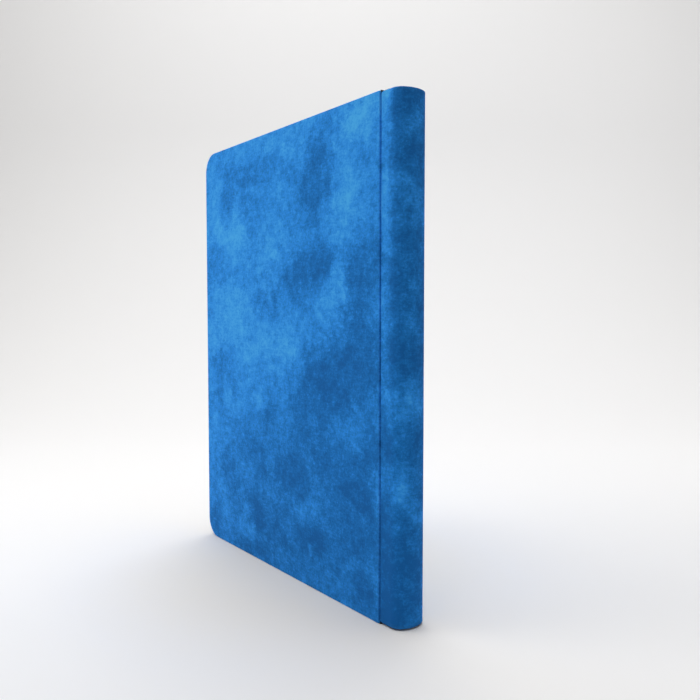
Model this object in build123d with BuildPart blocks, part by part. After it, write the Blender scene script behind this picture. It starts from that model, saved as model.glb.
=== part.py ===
from build123d import *
import math
import os

# A side-loading card album, closed and standing on its bottom edge.
#
# X runs from the rounded spine (-X) to the fore-edge (+X), Y through the thickness from the
# front cover (-Y) to the back cover (+Y), and Z up. The origin is the centre of the footprint.
#
# The spine is the fixed body. Each cover hinges on an upright line in the seam beside it, and
# each leaf turns on its own upright line in front of the binding block. All sizes are mm.

# --- Overall ---
HEIGHT = 330.0
WIDTH = 258.6
THICKNESS = 26.0

# --- Covers: a board wrapped in soft fabric, turned in on the inside and lined ---
SEAM_TO_APEX = 18.9
SEAM_X = SEAM_TO_APEX - WIDTH / 2
FORE_X = WIDTH / 2
COVER_CORNER_RADIUS = 15.5
COVER_THICKNESS = 3.0
COVER_INNER_Y = THICKNESS / 2 - COVER_THICKNESS
FABRIC = 0.8
COVER_LINING = 0.5
BOARD = COVER_THICKNESS - FABRIC - COVER_LINING
TURN_IN = 13.0
LINING_GAP = 0.2
OUTER_EDGE_RADIUS = 0.9
INNER_EDGE_RADIUS = 0.5

# --- Spine: fabric, stiffener and lining follow one rounded section ---
SPINE_STEP = 0.9                # the cover's face stands this far proud of the spine's side
SPINE_END_INSET = 0.7           # the spine stops this far short of the covers' ends
SPINE_HALF = THICKNESS / 2 - SPINE_STEP
SPINE_CORNER_RADIUS = 8.0
APEX_BEYOND_CORNER = 8.95       # from the corner arc's centre to the apex
SEAM_GAP = 0.3
STIFFENER = 0.8
SPINE_LINING = 0.3
SPINE_EDGE_RADIUS = 0.6
SPINE_FRONT_X = SEAM_X - SEAM_GAP
APEX_X = -WIDTH / 2
CORNER_X = APEX_X + APEX_BEYOND_CORNER
CORNER_Y = SPINE_HALF - SPINE_CORNER_RADIUS
CROWN_RADIUS = (APEX_BEYOND_CORNER**2 + CORNER_Y**2 - SPINE_CORNER_RADIUS**2) / (
    2 * (APEX_BEYOND_CORNER - SPINE_CORNER_RADIUS)
)
CROWN_X = APEX_X + CROWN_RADIUS
CROWN_HALF_ANGLE = math.degrees(math.atan2(CORNER_Y, CROWN_X - CORNER_X))

# --- Hinge tapes, inside the two seams ---
TAPE_WIDTH = 6.5
TAPE_END_INSET = 0.4
LINING_FRONT_X = SPINE_FRONT_X - TAPE_WIDTH - LINING_GAP

# --- Binding block: the leaves' inner margins, welded together and riveted ---
LEAF_HINGE_X = SEAM_X + 3.5
BLOCK_CLEARANCE = 0.3
BLOCK_INSET = FABRIC + STIFFENER + SPINE_LINING + BLOCK_CLEARANCE
BLOCK_FRONT_X = LEAF_HINGE_X - 0.3
BLOCK_HALF = SPINE_HALF - BLOCK_INSET
RIVET_COUNT = 5
RIVET_PITCH = 68.0
RIVET_X = SEAM_X - 4.0
RIVET_RADIUS = 1.6
RIVET_HEAD_RADIUS = 3.2
RIVET_HEAD = 0.6

# --- Leaves: an opaque sheet with nine clear pockets welded to each face ---
LEAF_COUNT = 20
LEAF_PITCH = 1.0
SHEET = 0.2
FILM = 0.15
LEAF_END_INSET = 8.0
LEAF_FORE_INSET = 5.0
LEAF_HINGE_GAP = 0.15
LEAF_CORNER_RADIUS = 7.0
LEAF_HEIGHT = HEIGHT - 2 * LEAF_END_INSET
LEAF_BACK_X = LEAF_HINGE_X + LEAF_HINGE_GAP
LEAF_FORE_X = FORE_X - LEAF_FORE_INSET
POCKETS_ACROSS = 3
POCKETS_UP = 3
WELD = 3.0
POCKET_MARGIN = 9.5             # from the leaf's hinge line to its first pocket
POCKET_FORE_INSET = 2.5
POCKET_END_INSET = 4.0
POCKET_ZONE_BACK_X = LEAF_HINGE_X + POCKET_MARGIN
POCKET_ZONE_FORE_X = LEAF_FORE_X - POCKET_FORE_INSET
POCKET_PITCH_X = (POCKET_ZONE_FORE_X - POCKET_ZONE_BACK_X) / POCKETS_ACROSS
POCKET_PITCH_Z = (LEAF_HEIGHT - 2 * POCKET_END_INSET) / POCKETS_UP

BACK = 1
FRONT = -1

pieces = {}


def upright_plane(y, facing):
    """A plane across Y at mid-height, whose normal points to +Y or -Y."""
    return Plane(origin=(0, y, HEIGHT / 2), x_dir=(1, 0, 0), z_dir=(0, facing, 0))


def cover_face(side, distance, inset=0.0):
    """The cover's outline, `distance` from the middle and `inset` inside its finished edge."""
    with BuildSketch(upright_plane(side * distance, side)) as outline:
        with Locations(((SEAM_X + FORE_X) / 2, 0)):
            Rectangle(FORE_X - SEAM_X - 2 * inset, HEIGHT - 2 * inset)
        fore_corners = outline.vertices().group_by(Axis.X)[-1]
        fillet(fore_corners, COVER_CORNER_RADIUS - inset)
    return outline.sketch


def make_cover(side, prefix):
    """One cover: the fabric skin, the board that it wraps and the lining inside its turn-in."""
    with BuildPart() as skin:
        extrude(cover_face(side, COVER_INNER_Y), amount=COVER_THICKNESS)
        flat_faces = skin.faces().sort_by(Axis((0, 0, 0), (0, side, 0)))
        fillet(flat_faces[-1].edges(), OUTER_EDGE_RADIUS)
        flat_faces = skin.faces().sort_by(Axis((0, 0, 0), (0, side, 0)))
        fillet(flat_faces[0].edges(), INNER_EDGE_RADIUS)
        extrude(
            cover_face(side, COVER_INNER_Y + COVER_LINING, FABRIC),
            amount=BOARD,
            mode=Mode.SUBTRACT,
        )
        extrude(
            cover_face(side, COVER_INNER_Y, TURN_IN),
            amount=COVER_LINING,
            mode=Mode.SUBTRACT,
        )
    pieces[prefix + "_cover_skin"] = skin.part

    with BuildPart() as board:
        extrude(cover_face(side, COVER_INNER_Y + COVER_LINING, FABRIC), amount=BOARD)
    pieces[prefix + "_cover_board"] = board.part

    with BuildPart() as lining:
        extrude(cover_face(side, COVER_INNER_Y, TURN_IN + LINING_GAP), amount=COVER_LINING)
    pieces[prefix + "_cover_lining"] = lining.part


def spine_face(inset, front_x, base_z):
    """The spine's D-shaped section, `inset` inside its outer surface, closed at `front_x`."""
    side_y = SPINE_HALF - inset
    corner_turn = 90 - CROWN_HALF_ANGLE
    with BuildSketch(Plane.XY.offset(base_z)) as section:
        with BuildLine():
            Line((front_x, side_y), (CORNER_X, side_y))
            CenterArc((CORNER_X, CORNER_Y), SPINE_CORNER_RADIUS - inset, 90, corner_turn)
            CenterArc(
                (CROWN_X, 0),
                CROWN_RADIUS - inset,
                180 - CROWN_HALF_ANGLE,
                2 * CROWN_HALF_ANGLE,
            )
            CenterArc(
                (CORNER_X, -CORNER_Y),
                SPINE_CORNER_RADIUS - inset,
                180 + CROWN_HALF_ANGLE,
                corner_turn,
            )
            Line((CORNER_X, -side_y), (front_x, -side_y))
            Line((front_x, -side_y), (front_x, side_y))
        make_face()
    return section.sketch


def make_spine():
    """The rounded spine: its fabric, the stiffener folded into it, and its lining."""
    stiffener_front_x = SPINE_FRONT_X - FABRIC
    stiffener_base_z = SPINE_END_INSET + FABRIC
    stiffener_height = HEIGHT - 2 * stiffener_base_z
    spine_height = HEIGHT - 2 * SPINE_END_INSET
    wall = FABRIC + STIFFENER

    with BuildPart() as stiffener:
        extrude(spine_face(FABRIC, stiffener_front_x, stiffener_base_z), amount=stiffener_height)
        extrude(
            spine_face(wall, stiffener_front_x, stiffener_base_z),
            amount=stiffener_height,
            mode=Mode.SUBTRACT,
        )
    pieces["spine_stiffener"] = stiffener.part

    with BuildPart() as skin:
        extrude(spine_face(0, SPINE_FRONT_X, SPINE_END_INSET), amount=spine_height)
        end_faces = skin.faces().filter_by(GeomType.PLANE).sort_by(Axis.Z)
        outer_edges = end_faces[0].edges() + end_faces[-1].edges()
        outer_edges -= outer_edges.group_by(Axis.X)[-1]
        fillet(outer_edges, SPINE_EDGE_RADIUS)
        extrude(
            spine_face(wall, SPINE_FRONT_X, SPINE_END_INSET),
            amount=spine_height,
            mode=Mode.SUBTRACT,
        )
        add(stiffener.part, mode=Mode.SUBTRACT)
    pieces["spine_skin"] = skin.part

    with BuildPart() as lining:
        extrude(spine_face(wall, LINING_FRONT_X, stiffener_base_z), amount=stiffener_height)
        extrude(
            spine_face(wall + SPINE_LINING, LINING_FRONT_X, stiffener_base_z),
            amount=stiffener_height,
            mode=Mode.SUBTRACT,
        )
    pieces["spine_lining"] = lining.part


def make_hinge_tape(side, prefix):
    """The cloth tape behind one seam, on the spine's side of the hinge line."""
    with BuildPart() as tape:
        with BuildSketch(upright_plane(side * (SPINE_HALF - FABRIC - STIFFENER), -side)):
            with Locations((SPINE_FRONT_X - TAPE_WIDTH / 2, 0)):
                Rectangle(TAPE_WIDTH, HEIGHT - 2 * TAPE_END_INSET)
        extrude(amount=SPINE_LINING)
    pieces[prefix + "_hinge_tape"] = tape.part


def rivet_discs(radius, distance, facing):
    """One disc for each rivet, on a plane across the binding block."""
    with BuildSketch(upright_plane(distance, facing)) as discs:
        with Locations((RIVET_X, 0)):
            with GridLocations(0, RIVET_PITCH, 1, RIVET_COUNT):
                Circle(radius)
    return discs.sketch


def make_binding():
    """The block of welded leaf margins and the flush rivets that go through it."""
    with BuildPart() as rivets:
        extrude(rivet_discs(RIVET_RADIUS, -BLOCK_HALF, 1), amount=2 * BLOCK_HALF)
        for side in (BACK, FRONT):
            extrude(rivet_discs(RIVET_HEAD_RADIUS, side * BLOCK_HALF, -side), amount=RIVET_HEAD)
    pieces["binding_rivets"] = rivets.part

    with BuildPart() as block:
        extrude(spine_face(BLOCK_INSET, BLOCK_FRONT_X, LEAF_END_INSET), amount=LEAF_HEIGHT)
        add(rivets.part, mode=Mode.SUBTRACT)
    pieces["binding_block"] = block.part


def make_leaf(number):
    """One leaf, whose sheet stops just short of its hinge line, and its eighteen pockets."""
    leaf_y = (number - (LEAF_COUNT + 1) / 2) * LEAF_PITCH

    with BuildPart() as sheet:
        with BuildSketch(upright_plane(leaf_y, BACK)) as outline:
            with Locations(((LEAF_BACK_X + LEAF_FORE_X) / 2, 0)):
                Rectangle(LEAF_FORE_X - LEAF_BACK_X, LEAF_HEIGHT)
            fore_corners = outline.vertices().group_by(Axis.X)[-1]
            fillet(fore_corners, LEAF_CORNER_RADIUS)
        extrude(amount=SHEET / 2, both=True)
    pieces[f"leaf_{number:02d}"] = sheet.part

    with BuildPart() as pockets:
        for side in (BACK, FRONT):
            with BuildSketch(upright_plane(leaf_y + side * SHEET / 2, side)):
                with Locations(((POCKET_ZONE_BACK_X + POCKET_ZONE_FORE_X) / 2, 0)):
                    with GridLocations(POCKET_PITCH_X, POCKET_PITCH_Z, POCKETS_ACROSS, POCKETS_UP):
                        Rectangle(POCKET_PITCH_X - WELD, POCKET_PITCH_Z - WELD)
            extrude(amount=FILM)
    pieces[f"pockets_{number:02d}"] = pockets.part


make_cover(BACK, "back")
make_cover(FRONT, "front")
make_spine()
make_hinge_tape(BACK, "back")
make_hinge_tape(FRONT, "front")
make_binding()
for leaf_number in range(1, LEAF_COUNT + 1):
    make_leaf(leaf_number)

os.makedirs("parts", exist_ok=True)
for piece_name, piece in pieces.items():
    piece.label = piece_name
    export_step(piece, f"parts/{piece_name}.step")
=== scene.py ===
import math

import bpy
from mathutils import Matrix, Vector, noise


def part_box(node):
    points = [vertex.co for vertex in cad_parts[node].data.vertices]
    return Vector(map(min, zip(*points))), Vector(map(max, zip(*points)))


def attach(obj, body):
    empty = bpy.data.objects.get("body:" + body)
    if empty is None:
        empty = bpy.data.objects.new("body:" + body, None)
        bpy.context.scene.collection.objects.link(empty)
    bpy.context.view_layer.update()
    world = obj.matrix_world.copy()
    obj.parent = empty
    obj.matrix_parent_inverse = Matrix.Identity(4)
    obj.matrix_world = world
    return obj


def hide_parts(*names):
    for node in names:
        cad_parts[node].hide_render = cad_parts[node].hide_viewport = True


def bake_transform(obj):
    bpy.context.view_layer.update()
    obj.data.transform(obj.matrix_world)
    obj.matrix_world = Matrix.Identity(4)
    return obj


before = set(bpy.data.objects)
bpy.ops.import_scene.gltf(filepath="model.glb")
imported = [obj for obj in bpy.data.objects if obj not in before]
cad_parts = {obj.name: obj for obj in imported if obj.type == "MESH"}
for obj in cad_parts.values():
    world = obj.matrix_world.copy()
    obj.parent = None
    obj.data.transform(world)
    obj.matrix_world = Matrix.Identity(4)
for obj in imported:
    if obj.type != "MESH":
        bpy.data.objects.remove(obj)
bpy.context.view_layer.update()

MM = 0.001

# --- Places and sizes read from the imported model, in metres ---
COVER_LOW, COVER_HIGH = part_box("back_cover_skin")
SPINE_LOW, SPINE_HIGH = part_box("spine_skin")
BLOCK_LOW, BLOCK_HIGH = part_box("binding_block")
HEIGHT = COVER_HIGH.z
SEAM_X = COVER_LOW.x
FORE_X = COVER_HIGH.x
OUTER_Y = COVER_HIGH.y
INNER_Y = COVER_LOW.y
COVER_THICKNESS = OUTER_Y - INNER_Y
SPINE_HALF = SPINE_HIGH.y
SPINE_TIP_X = SPINE_HIGH.x
APEX_X = SPINE_LOW.x
LEAVES = sorted(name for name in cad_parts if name.startswith("leaf_"))

BACK = 1
FRONT = -1
SIDES = {BACK: "back", FRONT: "front"}


# --- Camera ---

LENS_MM = 38.057
CAMERA_FROM_SEAM = (-355.4 * MM, 285.75 * MM, 196.1 * MM)
CAMERA_TILT_DOWN = 2.98
CAMERA_HEADING = -36.555


def add_camera():
    """Stands level with the album's upper half, in front of the spine's back corner."""
    camera = bpy.data.objects.new("camera", bpy.data.cameras.new("camera"))
    camera.data.lens = LENS_MM
    camera.data.sensor_width = 36.0
    away_x, away_y, height = CAMERA_FROM_SEAM
    camera.location = (SEAM_X + away_x, OUTER_Y + away_y, height)
    camera.rotation_euler = (math.radians(90 - CAMERA_TILT_DOWN), 0, math.radians(CAMERA_HEADING - 90))
    bpy.context.scene.collection.objects.link(camera)
    bpy.context.scene.camera = camera


add_camera()


# --- Node helpers ---

class Shader:
    """A material's node tree, with short calls for the nodes that every material here uses."""

    def __init__(self, name):
        self.material = bpy.data.materials.new(name)
        self.material.use_nodes = True
        self.nodes = self.material.node_tree.nodes
        self.links = self.material.node_tree.links
        self.principled = self.nodes["Principled BSDF"]
        self.place = self.nodes.new("ShaderNodeTexCoord").outputs["Object"]

    def put(self, value, socket):
        """Links an output, or sets a plain value."""
        if isinstance(value, bpy.types.NodeSocket):
            self.links.new(value, socket)
        else:
            socket.default_value = value

    def set(self, **values):
        """Sets inputs of the Principled shader, named with underscores for spaces."""
        for name, value in values.items():
            self.put(value, self.principled.inputs[name.replace("_", " ")])

    def stretched(self, scale):
        """Object coordinates, in metres, times a scale along each axis."""
        node = self.nodes.new("ShaderNodeMapping")
        node.inputs["Scale"].default_value = scale
        self.links.new(self.place, node.inputs["Vector"])
        return node.outputs["Vector"]

    def noise(self, per_metre, detail=2.0, roughness=0.5, distortion=0.0, vector=None):
        node = self.nodes.new("ShaderNodeTexNoise")
        node.inputs["Scale"].default_value = per_metre
        node.inputs["Detail"].default_value = detail
        node.inputs["Roughness"].default_value = roughness
        node.inputs["Distortion"].default_value = distortion
        self.links.new(vector or self.place, node.inputs["Vector"])
        return node.outputs["Fac"]

    def wave(self, per_metre, direction, distortion=0.0, detail=0.0, vector=None):
        node = self.nodes.new("ShaderNodeTexWave")
        node.bands_direction = direction
        node.inputs["Scale"].default_value = per_metre
        node.inputs["Distortion"].default_value = distortion
        node.inputs["Detail"].default_value = detail
        self.links.new(vector or self.place, node.inputs["Vector"])
        return node.outputs["Fac"]

    def math(self, operation, a, b=0.0):
        node = self.nodes.new("ShaderNodeMath")
        node.operation = operation
        self.put(a, node.inputs[0])
        self.put(b, node.inputs[1])
        return node.outputs[0]

    def spread(self, value, low, high, to_low=0.0, to_high=1.0, kind="SMOOTHSTEP"):
        """Maps low..high to to_low..to_high, clamped."""
        node = self.nodes.new("ShaderNodeMapRange")
        node.interpolation_type = kind
        node.inputs["From Min"].default_value = low
        node.inputs["From Max"].default_value = high
        node.inputs["To Min"].default_value = to_low
        node.inputs["To Max"].default_value = to_high
        self.links.new(value, node.inputs["Value"])
        return node.outputs["Result"]

    def ramp(self, value, stops):
        """A colour ramp of (position, colour) stops."""
        node = self.nodes.new("ShaderNodeValToRGB")
        elements = node.color_ramp.elements
        while len(elements) < len(stops):
            elements.new(0.5)
        for element, (position, colour) in zip(elements, stops):
            element.position = position
            element.color = (*colour, 1.0)
        self.links.new(value, node.inputs["Fac"])
        return node.outputs["Color"]

    def mix(self, share, a, b):
        node = self.nodes.new("ShaderNodeMix")
        node.data_type = "RGBA"
        self.put(share, node.inputs[0])
        self.put(a, node.inputs[6])
        self.put(b, node.inputs[7])
        return node.outputs[2]

    def combine(self, x, y, z):
        node = self.nodes.new("ShaderNodeCombineXYZ")
        for value, socket in zip((x, y, z), node.inputs):
            self.put(value, socket)
        return node.outputs["Vector"]

    def attribute(self, name):
        node = self.nodes.new("ShaderNodeAttribute")
        node.attribute_name = name
        return node.outputs["Fac"]

    def bump(self, height, distance, strength=1.0, below=None):
        node = self.nodes.new("ShaderNodeBump")
        node.inputs["Distance"].default_value = distance
        node.inputs["Strength"].default_value = strength
        self.links.new(height, node.inputs["Height"])
        if below is not None:
            self.links.new(below, node.inputs["Normal"])
        return node.outputs["Normal"]


def srgb(red, green, blue):
    """A display colour of 0 to 255 a channel as linear light."""
    def linear(c):
        c /= 255
        return c / 12.92 if c <= 0.04045 else ((c + 0.055) / 1.055) ** 2.4
    return (linear(red), linear(green), linear(blue))


# --- Materials ---

def nubuck_material():
    """Brushed blue microfibre: cloudy light and dark pile, fine flecks and a faint twill, with painted light
    and shade carried in by the pile attribute and a painted highlight along the rolled edges.
    """
    s = Shader("blue_nubuck")
    clouds = s.noise(34.0, 5.0, 0.68, 0.4)
    mottle = s.noise(170.0, 4.0, 0.75, 0.3)
    flecks = s.noise(640.0, 3.0, 0.8)
    streaks = s.noise(1.0, 3.0, 0.6, vector=s.stretched((170, 170, 760)))

    # The pile attribute holds random pile patches together with painted light and shade: the back cover is
    # painted lighter at the top, the spine lighter beside its seams at the top and darker over its curve.
    tone_and_painted_light = s.math("MULTIPLY", s.attribute("nap_and_painted_light"), 0.30)
    tone_and_painted_light = s.math("ADD", tone_and_painted_light, s.math("MULTIPLY", clouds, 0.80))
    tone_and_painted_light = s.math("ADD", tone_and_painted_light, s.math("MULTIPLY", mottle, 0.85))
    tone_and_painted_light = s.math("ADD", tone_and_painted_light, s.math("MULTIPLY", flecks, 0.75))
    tone_and_painted_light = s.math("ADD", tone_and_painted_light, s.math("MULTIPLY", streaks, 0.40))
    nap_and_painted_light = s.ramp(s.spread(tone_and_painted_light, 0.96, 1.84, kind="LINEAR"), [
        (0.0, srgb(14, 97, 171)),
        (0.3, srgb(25, 120, 202)),
        (0.6, srgb(45, 150, 244)),
        (1.0, srgb(78, 186, 255)),
    ])

    cloth = s.combine(s.attribute("across"), 0.0, s.attribute("up"))
    warp = s.wave(390.0, "Z", vector=cloth)
    weft = s.wave(390.0, "X", vector=cloth)
    twill = s.math("MULTIPLY", warp, weft)
    threaded = s.mix(s.spread(twill, 0.0, 1.0, 0.0, 0.12), nap_and_painted_light, (*srgb(96, 178, 255), 1))
    # Painted highlight: a pale blue laid along the rolled edges, patchy with the mottle.
    painted_edge_highlight_share = s.math("MULTIPLY", s.attribute("painted_edge_highlight"), s.spread(mottle, 0.35, 0.7, 0.08, 0.32))
    colour = s.mix(painted_edge_highlight_share, threaded, (*srgb(84, 160, 226), 1))

    fibres = s.noise(2600.0, 2.0, 0.7)
    relief = s.bump(fibres, 0.12 * MM, 0.7)
    relief = s.bump(twill, 0.05 * MM, 0.5, relief)
    relief = s.bump(mottle, 0.30 * MM, 0.5, relief)
    s.set(
        Base_Color=colour,
        Roughness=s.spread(tone_and_painted_light, 1.0, 1.8, 0.9, 0.78),
        Normal=relief,
        Sheen_Weight=0.12,
        Sheen_Roughness=0.5,
        Sheen_Tint=(*srgb(88, 170, 255), 1),
        Specular_IOR_Level=0.12,
    )
    return s.material


def black_weave_material(name, colour, thread_mm, roughness):
    """Woven black cloth, used for the linings and the hinge tapes."""
    s = Shader(name)
    per_metre = 1000 / thread_mm / 6.3
    weft = s.wave(per_metre, "Z", 0.4, 1.0)
    warp = s.wave(per_metre, "X", 0.4, 1.0)
    weave = s.math("ADD", s.math("MULTIPLY", weft, 0.5), s.math("MULTIPLY", warp, 0.5))
    dust = s.noise(90.0, 5.0, 0.7)
    base = s.ramp(weave, [(0.0, tuple(c * 0.45 for c in colour)), (1.0, colour)])
    lint = s.mix(s.spread(dust, 0.45, 0.8, 0.0, 0.18), base, (0.12, 0.12, 0.125, 1))
    s.set(
        Base_Color=lint,
        Roughness=s.spread(dust, 0.3, 0.7, roughness, roughness - 0.12),
        Normal=s.bump(weave, 0.12 * MM, 0.8),
        Sheen_Weight=0.15,
        Specular_IOR_Level=0.3,
    )
    return s.material


def moulded_material(name, dark, light, roughness, grain_mm, grain_depth_mm):
    """Matt sheet plastic with a fine grain, a little dust and faint rub marks."""
    s = Shader(name)
    grain = s.noise(1000 / grain_mm, 3.0, 0.6)
    rubs = s.noise(1.0, 4.0, 0.65, vector=s.stretched((12, 12, 90)))
    s.set(
        Base_Color=s.ramp(s.math("MULTIPLY", s.math("ADD", grain, rubs), 0.5), [(0.3, dark), (0.7, light)]),
        Roughness=s.spread(rubs, 0.35, 0.7, roughness + 0.08, roughness - 0.1),
        Normal=s.bump(grain, grain_depth_mm * MM, 0.6),
    )
    return s.material


def board_material():
    """Grey board: pressed paper fibres with darker flecks."""
    s = Shader("grey_board")
    fibres = s.noise(1.0, 5.0, 0.7, vector=s.stretched((900, 900, 250)))
    flecks = s.spread(s.noise(700.0, 2.0, 0.5), 0.62, 0.72)
    pulp = s.ramp(fibres, [(0.25, srgb(138, 128, 114)), (0.75, srgb(172, 162, 146))])
    s.set(
        Base_Color=s.mix(s.math("MULTIPLY", flecks, 0.6), pulp, (*srgb(92, 84, 74), 1)),
        Roughness=0.92,
        Normal=s.bump(fibres, 0.1 * MM, 0.7),
    )
    return s.material


def film_material():
    """Clear pocket film: faintly hazy, with shallow ripples."""
    s = Shader("pocket_film")
    ripples = s.noise(60.0, 3.0, 0.55, 0.6)
    haze = s.noise(300.0, 4.0, 0.7)
    s.set(
        Base_Color=(*srgb(214, 220, 228), 1),
        Roughness=s.spread(haze, 0.3, 0.75, 0.12, 0.3),
        Alpha=s.spread(haze, 0.3, 0.8, 0.18, 0.30),
        Normal=s.bump(ripples, 0.25 * MM, 0.6),
        Specular_IOR_Level=0.6,
    )
    return s.material


def rivet_material():
    """Satin metal with turning marks and tarnish."""
    s = Shader("rivet_metal")
    tarnish = s.noise(900.0, 4.0, 0.7)
    brushed = s.noise(1.0, 2.0, 0.6, vector=s.stretched((6000, 500, 6000)))
    s.set(
        Base_Color=s.ramp(tarnish, [(0.3, (0.20, 0.20, 0.21)), (0.7, (0.42, 0.42, 0.44))]),
        Metallic=1.0,
        Roughness=s.spread(tarnish, 0.3, 0.7, 0.5, 0.3),
        Normal=s.bump(brushed, 0.02 * MM, 0.5),
    )
    return s.material


NUBUCK = nubuck_material()
LINING = black_weave_material("black_lining", (0.030, 0.030, 0.034), 0.7, 0.9)
TAPE = black_weave_material("black_tape", (0.016, 0.016, 0.018), 0.5, 0.88)
SHEET = moulded_material("leaf_sheet", (0.012, 0.012, 0.013), (0.026, 0.026, 0.028), 0.5, 0.5, 0.03)
BINDING = moulded_material("binding_plastic", (0.014, 0.014, 0.015), (0.034, 0.034, 0.036), 0.55, 0.8, 0.04)
STIFFENER = moulded_material("stiffener_plastic", (0.05, 0.05, 0.055), (0.09, 0.09, 0.095), 0.6, 1.2, 0.05)
BOARD = board_material()
FILM = film_material()
RIVET = rivet_material()


# --- Mesh helpers ---

def lerp(a, b, t):
    return a + (b - a) * t


def make_object(name, points, faces, material, smooth=True, attributes=None):
    """A mesh object from points in metres. Each attribute is a list with one number a point."""
    mesh = bpy.data.meshes.new(name)
    mesh.from_pydata([tuple(p) for p in points], [], faces)
    mesh.materials.append(material)
    mesh.polygons.foreach_set("use_smooth", [smooth] * len(mesh.polygons))
    for title, values in (attributes or {}).items():
        attribute = mesh.attributes.new(title, "FLOAT", "POINT")
        attribute.data.foreach_set("value", values)
    mesh.update()
    obj = bpy.data.objects.new(name, mesh)
    bpy.context.scene.collection.objects.link(obj)
    return obj


def grid_faces(columns, rows, first=0, flip=False):
    """Quads over a grid of points stored column by column."""
    faces = []
    for i in range(columns - 1):
        for j in range(rows - 1):
            a = first + i * rows + j
            quad = (a, a + rows, a + rows + 1, a + 1)
            faces.append(quad[::-1] if flip else quad)
    return faces


def apply_modifiers(obj):
    """Turns the object's modifiers into its mesh."""
    depsgraph = bpy.context.evaluated_depsgraph_get()
    mesh = bpy.data.meshes.new_from_object(obj.evaluated_get(depsgraph))
    obj.modifiers.clear()
    obj.data = mesh


def thicken(obj, thickness):
    """Gives an open surface a thickness, inward from its outside."""
    modifier = obj.modifiers.new("thickness", "SOLIDIFY")
    modifier.thickness = thickness
    modifier.offset = -1.0
    apply_modifiers(obj)


# --- Wrapped plates: a fabric turned over the edges of a thin plate ---

LEAST_CORNER = 0.3 * MM


class Plate:
    """The outline of a plate in its own flat coordinates, and where its points go when it is inset.

    u runs across from the seam, v runs up. The corners at each end of u share a size (across, up).
    The outline's points keep their count and order at any inset, so rings of them can be joined up.
    """

    def __init__(self, width, height, near_corner, far_corner, step, rows, arc_steps=8):
        self.width = width
        self.height = height
        self.near_corner = near_corner
        self.far_corner = far_corner
        self.arc_steps = arc_steps
        self.run_steps = max(2, round((width - near_corner[0] - far_corner[0]) / step))
        self.rows = rows
        self.columns = 2 * arc_steps + self.run_steps + 1

    def corner(self, size, turn, inset):
        """How far in from the two edges a corner's point is. A trace of the curve stays at any inset."""
        across, up = (max(length - inset, LEAST_CORNER) for length in size)
        return inset + across * (1 - math.sin(turn)), inset + up * (1 - math.cos(turn))

    def column(self, i, inset):
        """(u, lowest v) of one column of points on the outline drawn inset."""
        last = self.columns - 1
        if i < self.arc_steps:
            turn = math.radians(90 * (1 - i / self.arc_steps))
            return self.corner(self.near_corner, turn, inset)
        if i > last - self.arc_steps:
            turn = math.radians(90 * (1 - (last - i) / self.arc_steps))
            in_from_side, in_from_end = self.corner(self.far_corner, turn, inset)
            return self.width - in_from_side, in_from_end
        near = self.corner(self.near_corner, 0.0, inset)[0]
        far = self.corner(self.far_corner, 0.0, inset)[0]
        return lerp(near, self.width - far, (i - self.arc_steps) / self.run_steps), inset

    def point(self, i, j, inset):
        u, low = self.column(i, inset)
        return u, lerp(low, self.height - low, j / (self.rows - 1))

    def rim(self):
        """(column, row) of each point round the outline."""
        last_column = self.columns - 1
        last_row = self.rows - 1
        below = [(i, 0) for i in range(last_column)]
        beyond = [(last_column, j) for j in range(last_row)]
        above = [(i, last_row) for i in range(last_column, 0, -1)]
        before = [(0, j) for j in range(last_row, 0, -1)]
        return below + beyond + above + before


def edge_rings(thickness, outer_radius, inner_radius, turn_in, steps=5):
    """(inset, depth) of each ring from the outer face, round the rolled edge, to the end of the turn-in."""
    rings = []
    for k in range(1, steps + 1):
        turn = math.radians(90 * k / steps)
        rings.append((outer_radius * (1 - math.sin(turn)), outer_radius * (1 - math.cos(turn))))
    for k in range(steps + 1):
        turn = math.radians(90 * k / steps)
        rings.append((inner_radius * (1 - math.cos(turn)), thickness - inner_radius * (1 - math.sin(turn))))
    for share in (0.12, 0.3, 0.5, 0.7, 0.88, 1.0):
        rings.append((lerp(inner_radius, turn_in, share), thickness))
    return rings


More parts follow.
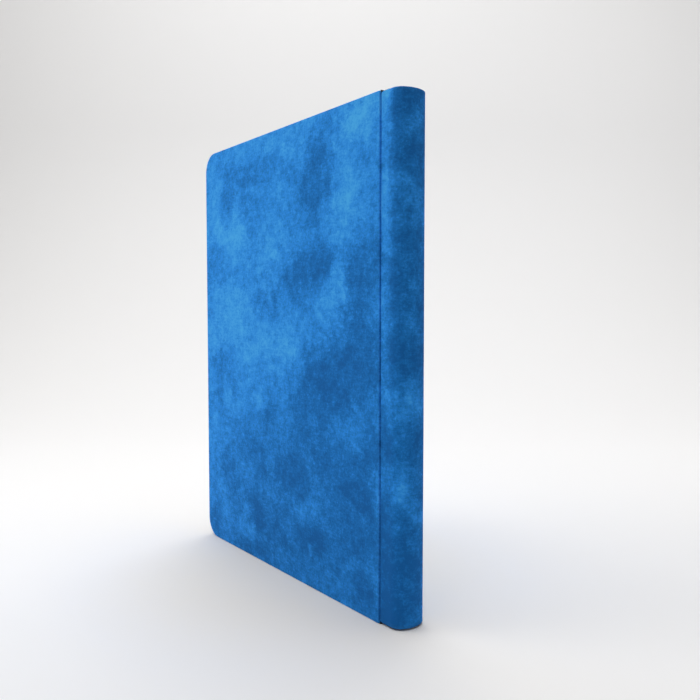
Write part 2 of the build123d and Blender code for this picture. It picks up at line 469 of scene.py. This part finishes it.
def wrapped_plate(name, plate, rings, edge, place, material, relief, nap_and_painted_light=None, pleats=0.0):
    """The cloth over a plate. place(u, v, depth) gives the point in space, and relief(u, v) lifts the face.

    The nap function gives how light the pile is painted at each point: random pile patches together with
    painted light and shade. pleats is the depth of the gathers at the far corners, and the rolled edges get
    a painted highlight.
    """
    points, painted_edge_highlight, pile_and_painted_light, flat = [], [], [], []
    last_column, last_row = plate.columns - 1, plate.rows - 1
    for i in range(plate.columns):
        for j in range(plate.rows):
            u, v = plate.point(i, j, edge)
            on_rim = min(i, j, last_column - i, last_row - j) == 0
            points.append(place(u, v, 0.0 if on_rim else -relief(u, v)))
            # The face's outermost points take part of the painted edge highlight.
            painted_edge_highlight.append(0.35 if on_rim else 0.0)
            pile_and_painted_light.append(nap_and_painted_light(u, v) if nap_and_painted_light else 0.0)
            flat.append((u, v))
    faces = grid_faces(plate.columns, plate.rows)
    rim = plate.rim()
    previous = [i * plate.rows + j for i, j in rim]
    for inset, depth in rings:
        first = len(points)
        on_face_side = inset <= edge and depth <= 2 * edge
        for i, j in rim:
            u, v = plate.point(i, j, inset)
            gathered = 0.0
            if inset > edge and i > last_column - plate.arc_steps and j in (0, last_row):
                gathered = pleats * math.sin(math.pi * (last_column - i) / 2) ** 2
            points.append(place(u, v, depth + gathered))
            # The painted edge highlight is strongest halfway round the rolled edge.
            painted_edge_highlight.append(max(0.0, 1.0 - abs(depth - edge) / (2 * edge)) if on_face_side else 0.0)
            pile_and_painted_light.append(nap_and_painted_light(u, v) if nap_and_painted_light else 0.0)
            flat.append((u, v))
        for k in range(len(rim)):
            after = (k + 1) % len(rim)
            faces.append((previous[after], previous[k], first + k, first + after))
        previous = list(range(first, first + len(rim)))
    a, b, c = (Vector(points[k]) for k in faces[0][:3])
    outward = Vector(place(0, 0, 0.0)) - Vector(place(0, 0, MM))
    if (b - a).cross(c - a).dot(outward) < 0:
        faces = [face[::-1] for face in faces]
    attributes = {"painted_edge_highlight": painted_edge_highlight, "nap_and_painted_light": pile_and_painted_light, "across": [u for u, v in flat], "up": [v for u, v in flat]}
    return make_object(name, points, faces, material, attributes=attributes)


# --- Covers ---

COVER_EDGE = 0.6 * MM
FABRIC = 0.5 * MM
TURN_IN = 13.0 * MM
COVER_WIDTH = FORE_X - SEAM_X
COVER_CORNER = (15.5 * MM, 15.5 * MM)
SEAM_CORNER = (0.7 * MM, 0.7 * MM)

# Where the brushed pile of the back cover lies darker (negative) or lighter: across from the seam,
# up from the bottom, half-width, half-height (mm), degrees of tilt, strength.
BACK_PATCHES = (
    (70, 288, 25, 23, 0, -0.9),
    (94, 214, 48, 16, -28, -0.9),
    (14, 213, 20, 26, 0, -0.8),
    (56, 150, 42, 24, -28, -0.85),
    (12, 160, 22, 30, 0, -0.6),
    (50, 70, 95, 70, 0, -0.25),
    (175, 205, 70, 60, 0, 0.2),
    (165, 305, 40, 10, 0, -0.5),
    (201, 290, 9, 17, 0, -0.5),
    (223, 240, 15, 12, 0, -0.2),
    (211, 155, 20, 10, 5, -0.7),
    (132, 114, 7, 10, 0, -0.6),
    (20, 77, 18, 12, 0, -0.9),
    (100, 76, 20, 17, 0, -0.55),
    (160, 84, 26, 11, 0, -0.3),
    (70, 37, 20, 8, 0, -0.7),
    (151, 40, 18, 12, 0, -0.7),
    (202, 62, 11, 8, 0, -0.5),
    (125, 25, 14, 7, 0, -0.5),
    (162, 11, 22, 7, 0, -0.6),
    (14, 15, 17, 13, 0, -0.6),
    (228, 22, 10, 15, 0, -0.4),
    (40, 270, 10, 32, 14, 0.4),
    (100, 308, 15, 9, 30, 0.6),
    (131, 242, 16, 8, -35, 0.6),
    (215, 262, 11, 8, 0, 0.7),
    (222, 298, 12, 10, 0, 0.4),
    (186, 262, 13, 10, 0, 0.4),
    (176, 186, 56, 30, 0, 0.6),
    (112, 166, 28, 22, 0, 0.5),
    (152, 128, 42, 14, 0, 0.4),
    (46, 224, 8, 15, 20, 0.6),
    (206, 130, 9, 9, 0, 0.5),
    (233, 110, 8, 42, 0, 0.4),
    (70, 102, 14, 11, 0, -0.4),
    (10, 104, 12, 12, 0, -0.6),
    (88, 57, 20, 7, 0, 0.5),
    (30, 50, 16, 16, 0, -0.2),
    (50, 195, 50, 30, 0, 0.2),
    (150, 202, 12, 10, 0, -0.8),
    (109, 203, 13, 12, 0, 0.6),
    (16, 322, 22, 12, 0, 0.7),
)
# Painted light: how much lighter the back cover's pile is painted at its bottom and at its top; the top is
# painted lighter and the bottom darker, as the light falls brighter on the top
BACK_PAINTED_LIGHT = (-0.35, 0.3)


def push(u, v, per_metre, layer, reach):
    """A shift of up to `reach` either way, which wanders over the panel."""
    return reach * noise.noise(Vector((u * per_metre, v * per_metre, layer)))


def patchy_nap(u, v, patches):
    """How light the pile lies at a point, from soft patches with ragged edges."""
    x = u + push(u, v, 38, 1.7, 9 * MM) + push(u, v, 110, 8.2, 6 * MM)
    y = v + push(u, v, 38, 21.7, 9 * MM) + push(u, v, 110, 28.2, 6 * MM)
    total = 0.0
    for middle_u, middle_v, half_u, half_v, tilt, strength in patches:
        across, up = x / MM - middle_u, y / MM - middle_v
        c, s = math.cos(math.radians(tilt)), math.sin(math.radians(tilt))
        distance = math.hypot((across * c + up * s) / half_u, (up * c - across * s) / half_v)
        total += strength / (1 + distance**6)
    return max(-1.1, min(1.1, total))


def cloudy_nap(seed, per_metre, contrast):
    """How light the pile lies on a panel whose patches are left to chance."""
    def nap_and_painted_light(u, v):
        broad = noise.fractal(Vector((u * per_metre, v * per_metre, seed)), 0.6, 2.0, 4)
        return max(-1.1, min(1.1, contrast * broad))
    return nap_and_painted_light


def cover_relief(seed):
    """Slight waves in the glued fabric, and a faint dip just inside the rolled edge."""
    def relief(u, v):
        wave = noise.noise(Vector((u * 22, v * 22, seed))) * 0.10 * MM
        edge = min(u, v, COVER_WIDTH - u, HEIGHT - v)
        dip = 0.06 * MM * math.exp(-((edge - 4.5 * MM) / (2.0 * MM)) ** 2)
        return wave * min(1.0, edge / (3 * MM)) - dip
    return relief


def add_cover(side):
    """The cover's fabric, turned in over its board."""
    def place(u, v, depth):
        return SEAM_X + u, side * (OUTER_Y - depth), v

    # The back cover's random pile patches, plus painted light: lighter towards the top, darker towards the
    # bottom.
    def back_nap_and_painted_light(u, v):
        return patchy_nap(u, v, BACK_PATCHES) + lerp(*BACK_PAINTED_LIGHT, v / HEIGHT)

    nap_and_painted_light = back_nap_and_painted_light if side == BACK else cloudy_nap(4.4, 16, 1.5)
    plate = Plate(COVER_WIDTH, HEIGHT, SEAM_CORNER, COVER_CORNER, 2.0 * MM, 166, 10)
    rings = edge_rings(COVER_THICKNESS, COVER_EDGE, 0.5 * MM, TURN_IN)
    name = SIDES[side] + "_cover_fabric"
    relief = cover_relief(side * 7.3)
    fabric = wrapped_plate(name, plate, rings, COVER_EDGE, place, NUBUCK, relief, nap_and_painted_light, 0.22 * MM)
    thicken(fabric, FABRIC)
    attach(fabric, SIDES[side] + "_cover")
    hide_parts(SIDES[side] + "_cover_skin")


def add_cover_lining(side):
    """The cloth panel inside the turn-in, with its own pressed edge."""
    node = SIDES[side] + "_cover_lining"
    low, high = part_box(node)
    thickness = high.y - low.y
    inner = low.y if side == BACK else -high.y

    def place(u, v, depth):
        return low.x + u, side * (inner + depth), low.z + v

    def relief(u, v):
        return noise.noise(Vector((u * 30, v * 30, side * 3.1))) * 0.05 * MM

    plate = Plate(high.x - low.x, high.z - low.z, (1 * MM, 1 * MM), (2.5 * MM, 2.5 * MM), 6.0 * MM, 51, 4)
    rings = edge_rings(thickness, 0.2 * MM, 0.05 * MM, 4 * MM, 3)
    lining = wrapped_plate(SIDES[side] + "_lining_cloth", plate, rings, 0.2 * MM, place, LINING, relief)
    thicken(lining, 0.15 * MM)
    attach(lining, SIDES[side] + "_cover")
    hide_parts(node)


for side in (BACK, FRONT):
    add_cover(side)
    add_cover_lining(side)


# --- Spine ---

SPINE_CORNER = 8.0 * MM
APEX_BEYOND_CORNER = 8.95 * MM
SPINE_WALL = 1.6 * MM
SPINE_EDGE = 0.9 * MM
SPINE_TURN_IN = 7.0 * MM
NOTCH = (2.4 * MM, 1.5 * MM)
SPINE_SHORT_BELOW = 0.2 * MM
SPINE_LONG_ABOVE = 0.05 * MM
SPINE_PUFF = 0.4 * MM
# Painted light and shade on the spine: how much lighter the pile is painted beside the seams, at the bottom
# and at the top, and over the curve, which is painted darker as it faces away from the light
SEAM_STRIP_PAINTED_LIGHT = (-1.7, 1.0)
SPINE_CURVE_PAINTED_SHADE = -0.85
CORNER_X = APEX_X - SPINE_PUFF + APEX_BEYOND_CORNER
CORNER_Y = SPINE_HALF - SPINE_CORNER
CROWN = (APEX_BEYOND_CORNER**2 + CORNER_Y**2 - SPINE_CORNER**2) / (2 * (APEX_BEYOND_CORNER - SPINE_CORNER))
CROWN_X = APEX_X - SPINE_PUFF + CROWN
CROWN_HALF = math.atan2(CORNER_Y, CROWN_X - CORNER_X)
SPINE_FLAT = SPINE_TIP_X - CORNER_X
CORNER_TURN = math.pi / 2 - CROWN_HALF
SPINE_PATH = 2 * (SPINE_FLAT + SPINE_CORNER * CORNER_TURN + CROWN * CROWN_HALF)


def spine_point(along, depth):
    """The point `along` the spine's outside from the back seam, `depth` inside it."""
    mirrored = along > SPINE_PATH / 2
    s = SPINE_PATH - along if mirrored else along
    if s < SPINE_FLAT:
        x, y = SPINE_TIP_X - s, SPINE_HALF - depth
    elif s < SPINE_FLAT + SPINE_CORNER * CORNER_TURN:
        turn = math.pi / 2 + (s - SPINE_FLAT) / SPINE_CORNER
        x = CORNER_X + (SPINE_CORNER - depth) * math.cos(turn)
        y = CORNER_Y + (SPINE_CORNER - depth) * math.sin(turn)
    else:
        turn = math.pi - (SPINE_PATH / 2 - s) / CROWN
        x = CROWN_X + (CROWN - depth) * math.cos(turn)
        y = (CROWN - depth) * math.sin(turn)
    return x, -y if mirrored else y


def add_spine():
    """The spine's fabric, wrapped over its stiffener, with its corners cut back at the seams."""
    length = SPINE_HIGH.z - SPINE_LOW.z - SPINE_SHORT_BELOW + SPINE_LONG_ABOVE

    def place(u, v, depth):
        x, y = spine_point(u, depth)
        return x, y, SPINE_LOW.z + SPINE_SHORT_BELOW + v

    def relief(u, v):
        edge = min(u, SPINE_PATH - u, v, length - v)
        fade = max(0.0, min(1.0, edge / (3 * MM)))
        return noise.noise(Vector((u * 40, v * 18, 5.7))) * 0.10 * MM * fade

    plate = Plate(SPINE_PATH, length, NOTCH, NOTCH, 1.0 * MM, 141, 6)
    rings = edge_rings(SPINE_WALL, SPINE_EDGE, 0.4 * MM, SPINE_TURN_IN)
    clouds = cloudy_nap(9.1, 32, 0.9)

    def nap_and_painted_light(u, v):
        """Painted light and shade: the strips beside the seams are painted lighter towards the top and
        darker towards the bottom, and the curve is painted darker; random clouds of pile are added.
        """
        curve = max(0.0, min(1.0, (min(u, SPINE_PATH - u) - 3 * MM) / (12 * MM)))
        painted_light_beside_seam = lerp(*SEAM_STRIP_PAINTED_LIGHT, v / length)
        return lerp(painted_light_beside_seam, SPINE_CURVE_PAINTED_SHADE, curve * curve * (3 - 2 * curve)) + clouds(u, v)

    fabric = wrapped_plate("spine_fabric", plate, rings, SPINE_EDGE, place, NUBUCK, relief, nap_and_painted_light)
    thicken(fabric, FABRIC)
    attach(fabric, "spine")
    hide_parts("spine_skin")


def add_spine_lining():
    """The thin cloth on the inside of the rounded part."""
    low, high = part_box("spine_lining")
    start = SPINE_TIP_X - high.x
    width = SPINE_PATH - 2 * start

    def place(u, v, depth):
        x, y = spine_point(start + u, SPINE_WALL + 0.28 * MM - depth)
        return x, y, low.z + v

    corner = (0.6 * MM, 0.6 * MM)
    plate = Plate(width, high.z - low.z, corner, corner, 1.5 * MM, 61, 2)
    rings = edge_rings(0.25 * MM, 0.08 * MM, 0.05 * MM, 3 * MM, 2)
    lining = wrapped_plate("spine_lining_cloth", plate, rings, 0.08 * MM, place, LINING, lambda u, v: 0.0)
    thicken(lining, 0.1 * MM)
    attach(lining, "spine")
    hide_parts("spine_lining")


add_spine()
add_spine_lining()


# --- Hinge tapes ---

TAPE_END = 0.15 * MM
TAPE_THICKNESS = 0.15 * MM
TAPE_RISE = 2.1 * MM
TAPE_STRETCH = 0.13 * MM
TAPE_RISE_HEIGHT = 0.9 * MM
TAPE_ONTO_COVER = 12.0 * MM
TAPE_PROUD = 0.02 * MM


def tape_path(side):
    """The tape's line from the spine's wall, across the seam, to the inside of the cover."""
    wall_y = SPINE_HALF - SPINE_WALL - TAPE_PROUD
    cover_y = INNER_Y - TAPE_PROUD
    start_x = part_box(SIDES[side] + "_hinge_tape")[0].x
    notch_from, notch_to = SEAM_X - 1.8 * MM, SEAM_X + 0.2 * MM
    stations = [lerp(start_x, notch_from, k / 8) for k in range(8)]
    stations += [lerp(notch_from, notch_to, k / 10) for k in range(10)]
    stations += [lerp(notch_to, SEAM_X + TAPE_ONTO_COVER, k / 20) for k in range(21)]
    line = []
    for x in stations:
        ease = max(0.0, min(1.0, (x - SEAM_X + 0.6 * MM) / (2 * MM)))
        ease = ease * ease * (3 - 2 * ease)
        line.append((x, side * lerp(wall_y, cover_y, ease)))
    return line


def add_hinge_tape(side):
    """Black cloth tape behind the seam, from the spine's wall onto the inside of the cover. Its ends fill
    the spine's notches.
    """
    line = tape_path(side)
    heights = [TAPE_END + k * 0.25 * MM for k in range(6)]
    heights += [lerp(heights[-1], HEIGHT / 2, k / 25) for k in range(1, 26)]
    heights += [HEIGHT - z for z in reversed(heights[:-1])]
    points = []
    for x, y in line:
        in_notch = max(0.0, 1.0 - ((x - (SEAM_X - 0.75 * MM)) / (0.85 * MM)) ** 4)
        for z in heights:
            from_end = min(z, HEIGHT - z) - TAPE_END
            near_end = max(0.0, 1.0 - from_end / TAPE_RISE_HEIGHT)
            stretch = TAPE_STRETCH * in_notch * near_end * (1 if z > HEIGHT / 2 else -1)
            points.append((x, y + side * TAPE_RISE * in_notch * near_end, z + stretch))
    faces = grid_faces(len(line), len(heights), flip=side == FRONT)
    tape = make_object(SIDES[side] + "_hinge_cloth", points, faces, TAPE)
    thicken(tape, TAPE_THICKNESS)
    length = sum(math.dist(a, b) for a, b in zip(line, line[1:]))
    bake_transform(tape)
    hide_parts(SIDES[side] + "_hinge_tape")


for side in (BACK, FRONT):
    add_hinge_tape(side)


# --- Leaves and pockets ---

def add_leaf(name):
    """One leaf's sheet, with close-set columns of points along its first millimetres out of the binding
    block.
    """
    low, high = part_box(name)
    rows = 27
    corner = 7.0 * MM
    xs = [BLOCK_HIGH.x + k * 0.35 * MM for k in range(9)]
    xs += [lerp(xs[-1], high.x - corner, k / 8) for k in range(1, 9)]
    xs += [high.x - corner + corner * math.sin(math.radians(15 * k)) for k in range(1, 7)]
    points = []
    for x in xs:
        past = max(0.0, x - (high.x - corner))
        cut = corner - math.sqrt(max(0.0, corner**2 - past**2))
        for j in range(rows):
            points.append((x, high.y, lerp(low.z + cut, high.z - cut, j / (rows - 1))))
    sheet = make_object(name + "_sheet", points, grid_faces(len(xs), rows, flip=True), SHEET, smooth=False)
    thicken(sheet, high.y - low.y)
    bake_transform(sheet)
    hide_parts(name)


POCKET_COLUMNS = 3
POCKET_ROWS = 3
WELD = 3.0 * MM


def pocket_film(points, faces, corner, size, y, outward):
    """One film: welded flat on three sides, open and slightly lifted on the side towards the spine."""
    across, up = 7, 9
    first = len(points)
    for i in range(across):
        for j in range(up):
            a, b = i / (across - 1), j / (up - 1)
            crown = math.sin(math.pi * b) * (1 - a**3) * (0.35 + 0.65 * min(1.0, a * 4))
            lift = (0.05 + 0.10 * crown) * MM
            points.append((corner[0] + a * size[0], y + outward * lift, corner[1] + b * size[1]))
    faces.extend(grid_faces(across, up, first, flip=outward < 0))


def add_pockets(name):
    """The eighteen clear pockets on one leaf."""
    low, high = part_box(name)
    sheet_low, sheet_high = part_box(name.replace("pockets", "leaf"))
    pitch_x = (high.x - low.x + WELD) / POCKET_COLUMNS
    pitch_z = (high.z - low.z + WELD) / POCKET_ROWS
    points, faces = [], []
    for outward, y in ((1, sheet_high.y), (-1, sheet_low.y)):
        for column in range(POCKET_COLUMNS):
            for row in range(POCKET_ROWS):
                corner = (low.x + column * pitch_x, low.z + row * pitch_z)
                pocket_film(points, faces, corner, (pitch_x - WELD, pitch_z - WELD), y, outward)
    films = make_object(name + "_films", points, faces, FILM)
    thicken(films, 0.05 * MM)
    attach(films, name.replace("pockets", "leaf"))
    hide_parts(name)


for leaf in LEAVES:
    add_leaf(leaf)
    add_pockets(leaf.replace("leaf", "pockets"))


# --- Binding block ---

STRIP_HALF = 0.3 * MM


def add_binding_block():
    """The leaves' inner margins, one strip behind each leaf, melted together by the welds."""
    inset = SPINE_HALF - BLOCK_HIGH.y
    points, faces = [], []
    for leaf in LEAVES:
        low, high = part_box(leaf)
        middle = (low.y + high.y) / 2
        for y in (middle - STRIP_HALF, middle + STRIP_HALF):
            side_y = abs(y)
            if side_y > CORNER_Y:
                reach = math.sqrt(max(0.0, (SPINE_CORNER - inset) ** 2 - (side_y - CORNER_Y) ** 2))
                back_x = CORNER_X - reach
            else:
                back_x = CROWN_X - math.sqrt((CROWN - inset) ** 2 - side_y**2)
            for z in (BLOCK_LOW.z, BLOCK_HIGH.z):
                points.append((back_x, y, z))
                points.append((BLOCK_HIGH.x, y, z))
        a = len(points) - 8
        faces += [(a, a + 1, a + 3, a + 2), (a + 5, a + 4, a + 6, a + 7), (a + 2, a + 3, a + 7, a + 6),
                  (a + 1, a, a + 4, a + 5), (a + 3, a + 1, a + 5, a + 7), (a, a + 2, a + 6, a + 4)]
    block = make_object("binding_strips", points, faces, BINDING, smooth=False)
    bevel = block.modifiers.new("edges", "BEVEL")
    bevel.width = 0.12 * MM
    bevel.segments = 2
    apply_modifiers(block)
    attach(block, "spine")
    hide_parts("binding_block")


add_binding_block()


def finish_cad_nodes():
    """Materials for the rigid CAD pieces that stay as they are."""
    kept = {
        "back_cover_board": BOARD,
        "front_cover_board": BOARD,
        "spine_stiffener": STIFFENER,
        "binding_rivets": RIVET,
    }
    for name, material in kept.items():
        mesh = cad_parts[name].data
        mesh.materials.clear()
        mesh.materials.append(material)


finish_cad_nodes()


# --- Floor and light ---

SWEEP_BEND_START = 0.5
SWEEP_BEND_RADIUS = 0.6
SWEEP_TOP = 2.6

# The floor is a shade warmer beside the album, which evens out the blue light that the album throws on it
FLOOR_NEAR = (0.90, 0.858, 0.785)
FLOOR_FAR = (0.864, 0.864, 0.874)
FLOOR_NEAR_REACH = 0.06
FLOOR_FAR_REACH = 0.17


# name, place, point aimed at, size, power: metres and watts
LIGHTS = (
    ("key", (0.30, 0.62, 0.95), (0, 0, 0.22), (0.5, 0.5), 1.0),
    ("fore_edge", (0.55, 0.75, 0.75), (0.05, 0, 0.2), (0.5, 0.5), 1.2),
    ("over", (0.05, 0.1, 1.5), (0.05, 0.05, 0.0), (1.4, 1.4), 13.2),
    ("behind", (0.75, -0.5, 1.5), (0.1, 0, 0.0), (1.4, 1.0), 9.1),
    ("side", (-0.2, -0.9, 0.7), (0.5, -1.0, 0.3), (0.5, 0.8), 1.2),
)
WORLD_COLOUR = (1.0, 0.96, 0.88, 1)
WORLD_STRENGTH = 0.28


def add_sweep():
    """A pale floor that curves up into a backdrop behind the album."""
    s = Shader("pale_sweep")
    distance = s.nodes.new("ShaderNodeVectorMath")
    distance.operation = "LENGTH"
    s.links.new(s.place, distance.inputs[0])
    away_from_album = s.spread(distance.outputs["Value"], FLOOR_NEAR_REACH, FLOOR_FAR_REACH)
    s.set(Base_Color=s.ramp(away_from_album, ((0.0, FLOOR_NEAR), (1.0, FLOOR_FAR))))
    s.set(Roughness=0.8, Specular_IOR_Level=0.1)
    heading = math.radians(CAMERA_HEADING)
    away = Vector((math.cos(heading), math.sin(heading), 0))
    across = Vector((-away.y, away.x, 0))
    path = [(-4.0, 0.0), (-2.0, 0.0), (-0.8, 0.0), (0.0, 0.0), (0.25, 0.0), (SWEEP_BEND_START, 0.0)]
    for k in range(1, 17):
        turn = math.radians(90 * k / 16)
        rise = SWEEP_BEND_RADIUS * (1 - math.cos(turn))
        path.append((SWEEP_BEND_START + SWEEP_BEND_RADIUS * math.sin(turn), rise))
    wall = SWEEP_BEND_START + SWEEP_BEND_RADIUS
    path += [(wall, 1.5), (wall, SWEEP_TOP)]
    sides = [-3.0 + 0.5 * k for k in range(13)]
    points = [away * d + across * side + Vector((0, 0, z)) for d, z in path for side in sides]
    floor = make_object("floor", points, grid_faces(len(path), len(sides)), s.material)


def add_area_light(name, place, aim, size, power):
    light = bpy.data.lights.new(name, "AREA")
    light.shape = "RECTANGLE"
    light.size, light.size_y = size
    light.energy = power
    obj = bpy.data.objects.new(name, light)
    obj.location = place
    obj.rotation_euler = (Vector(aim) - Vector(place)).to_track_quat("-Z", "Y").to_euler()
    bpy.context.scene.collection.objects.link(obj)


def add_world():
    world = bpy.data.worlds.new("studio")
    world.use_nodes = True
    background = world.node_tree.nodes["Background"]
    background.inputs["Color"].default_value = WORLD_COLOUR
    background.inputs["Strength"].default_value = WORLD_STRENGTH
    bpy.context.scene.world = world


add_sweep()
add_world()
for light in LIGHTS:
    add_area_light(*light)
bpy.context.scene.view_settings.view_transform = "Standard"
